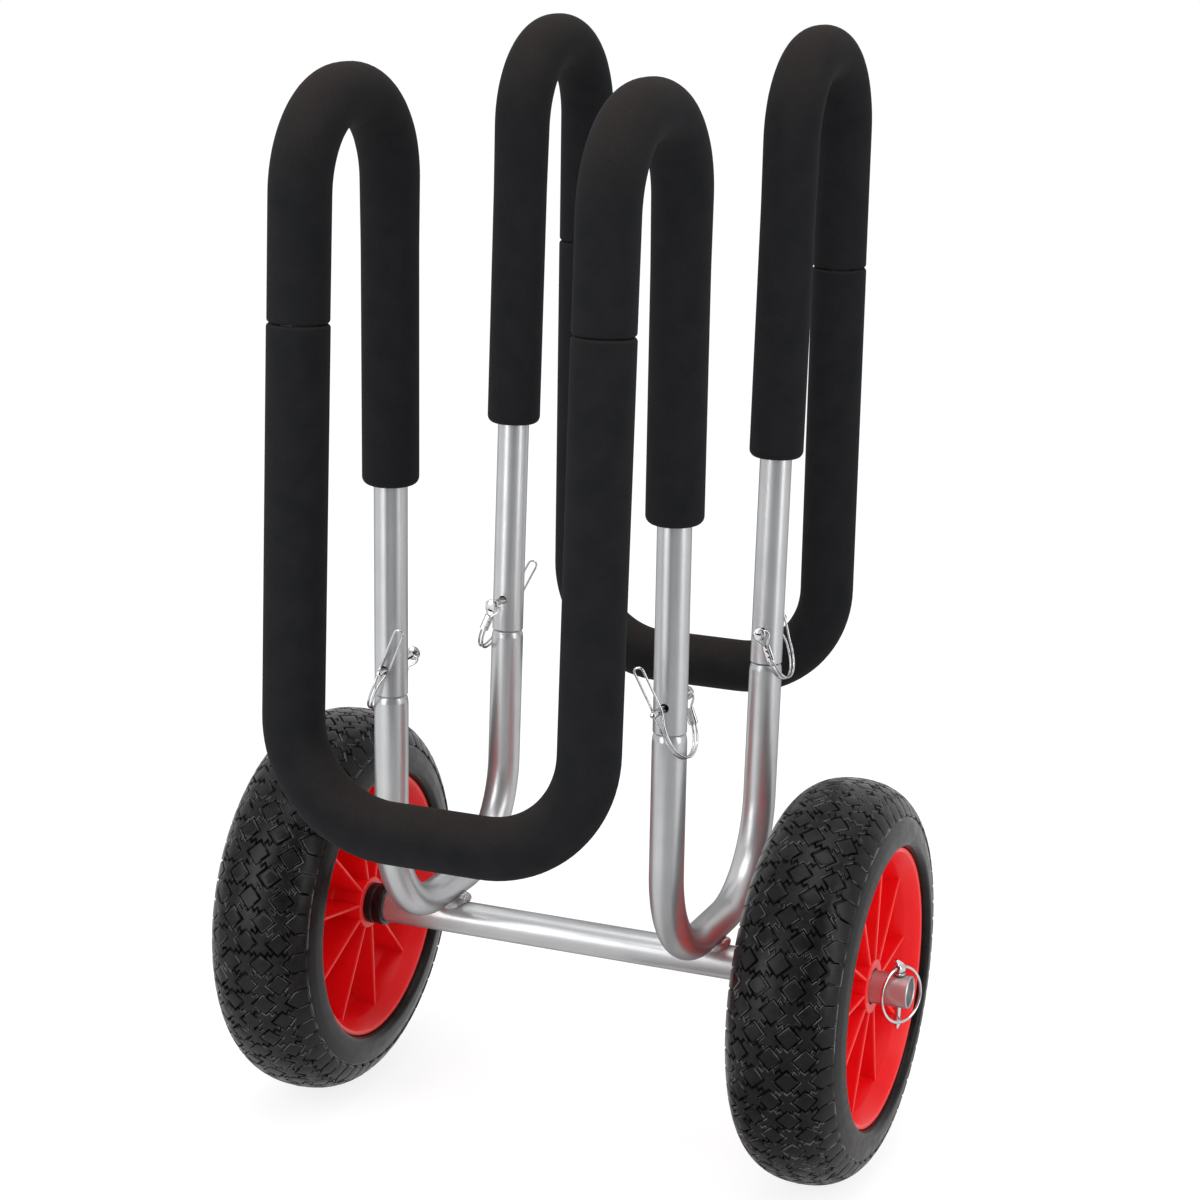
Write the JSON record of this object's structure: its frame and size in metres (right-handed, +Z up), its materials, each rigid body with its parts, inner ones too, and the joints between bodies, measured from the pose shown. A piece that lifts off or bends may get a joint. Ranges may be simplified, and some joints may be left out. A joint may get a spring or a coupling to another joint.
{
  "type": "paddleboard cart",
  "caption": "Cart with a tube axle on airless wheels, welded lower frames and padded bent-tube cradles that hold paddleboards on edge.",
  "frame": {"origin": "on the ground, midway between the wheels and straight below the axle", "axes": "+X along the axle towards the right wheel, +Y towards the rear cradle, the way the cart rolls, +Z up"},
  "size_m": [0.5604, 0.5834, 0.8698],
  "materials": {
    "tube": "satin anodised",
    "weld": "rippled weld bead",
    "zinc": "bright zinc plate",
    "foam": "matt closed-cell foam",
    "hub": "semi-gloss moulded",
    "tyre": "matt rubber",
    "collar": "satin moulded"
  },
  "bodies": {
    "chassis": {"axle_tube": "tube", "left_lower_frame": "tube", "left_frame_weld": "weld", "left_axle_collar": "collar", "right_lower_frame": "tube", "right_frame_weld": "weld", "right_axle_collar": "collar", "front_cradle_tube": "tube", "front_left_hook_foam": "foam", "front_right_hook_foam": "foam", "front_bar_foam": "foam", "rear_cradle_tube": "tube", "rear_left_hook_foam": "foam", "rear_right_hook_foam": "foam", "rear_bar_foam": "foam", "left_linch_pin": "zinc", "right_linch_pin": "zinc"},
    "left_wheel": {"left_wheel_hub": "hub", "left_tyre": "tyre"},
    "left_ring": {"left_linch_ring": "zinc"},
    "right_wheel": {"right_wheel_hub": "hub", "right_tyre": "tyre"},
    "right_ring": {"right_linch_ring": "zinc"},
    "front_left_pin": {"front_left_lock_pin": "zinc"},
    "front_left_bail": {"front_left_pin_bail": "zinc", "front_left_bail_ferrule": "zinc"},
    "front_right_pin": {"front_right_lock_pin": "zinc"},
    "front_right_bail": {"front_right_pin_bail": "zinc", "front_right_bail_ferrule": "zinc"},
    "rear_left_pin": {"rear_left_lock_pin": "zinc"},
    "rear_left_bail": {"rear_left_pin_bail": "zinc", "rear_left_bail_ferrule": "zinc"},
    "rear_right_pin": {"rear_right_lock_pin": "zinc"},
    "rear_right_bail": {"rear_right_pin_bail": "zinc", "rear_right_bail_ferrule": "zinc"}
  },
  "joints": [
    {"name": "left_wheel_spin", "type": "hinge", "parent": "chassis", "child": "left_wheel", "pos_m": [-0.21445, 0, 0.157], "axis": [1, 0, 0], "continuous": true},
    {"name": "left_ring_flip", "type": "hinge", "parent": "chassis", "child": "left_ring", "pos_m": [-0.2665, 0, 0.176], "axis": [-0.454, 0.891, 0], "range_deg": [0, 160]},
    {"name": "right_wheel_spin", "type": "hinge", "parent": "chassis", "child": "right_wheel", "pos_m": [0.21445, 0, 0.157], "axis": [1, 0, 0], "continuous": true},
    {"name": "right_ring_flip", "type": "hinge", "parent": "chassis", "child": "right_ring", "pos_m": [0.2665, 0, 0.176], "axis": [-0.454, -0.891, 0], "range_deg": [0, 160]},
    {"name": "front_left_pin_turn", "type": "hinge", "parent": "chassis", "child": "front_left_pin", "pos_m": [-0.113, -0.11053, 0.3935], "axis": [-0.0349, 0.9994, 0.0035], "range_deg": [0, 130]},
    {"name": "front_left_bail_open", "type": "hinge", "parent": "front_left_pin", "child": "front_left_bail", "pos_m": [-0.11432, -0.07266, 0.39363], "axis": [0.9094, 0.0332, -0.4146], "range_deg": [0, 10]},
    {"name": "front_right_pin_turn", "type": "hinge", "parent": "chassis", "child": "front_right_pin", "pos_m": [0.113, -0.11053, 0.3935], "axis": [-0.0349, -0.9992, -0.0174], "range_deg": [0, 130]},
    {"name": "front_right_bail_open", "type": "hinge", "parent": "front_right_pin", "child": "front_right_bail", "pos_m": [0.11398, -0.08236, 0.39399], "axis": [0.9199, -0.0389, 0.3901], "range_deg": [0, 35]},
    {"name": "rear_left_pin_turn", "type": "hinge", "parent": "chassis", "child": "rear_left_pin", "pos_m": [-0.113, 0.11069, 0.3995], "axis": [-0.0349, 0.9992, -0.0174], "range_deg": [0, 130]},
    {"name": "rear_left_bail_open", "type": "hinge", "parent": "rear_left_pin", "child": "rear_left_bail", "pos_m": [-0.11188, 0.07861, 0.40006], "axis": [-0.9299, -0.0261, 0.367], "range_deg": [0, 18]},
    {"name": "rear_right_pin_turn", "type": "hinge", "parent": "chassis", "child": "rear_right_pin", "pos_m": [0.113, 0.11069, 0.3995], "axis": [0.0157, -0.9998, 0.0122], "range_deg": [0, 130]},
    {"name": "rear_right_bail_open", "type": "hinge", "parent": "rear_right_pin", "child": "rear_right_bail", "pos_m": [0.11328, 0.09259, 0.39972], "axis": [-0.9231, -0.0192, -0.3841], "range_deg": [0, 45]}
  ]
}
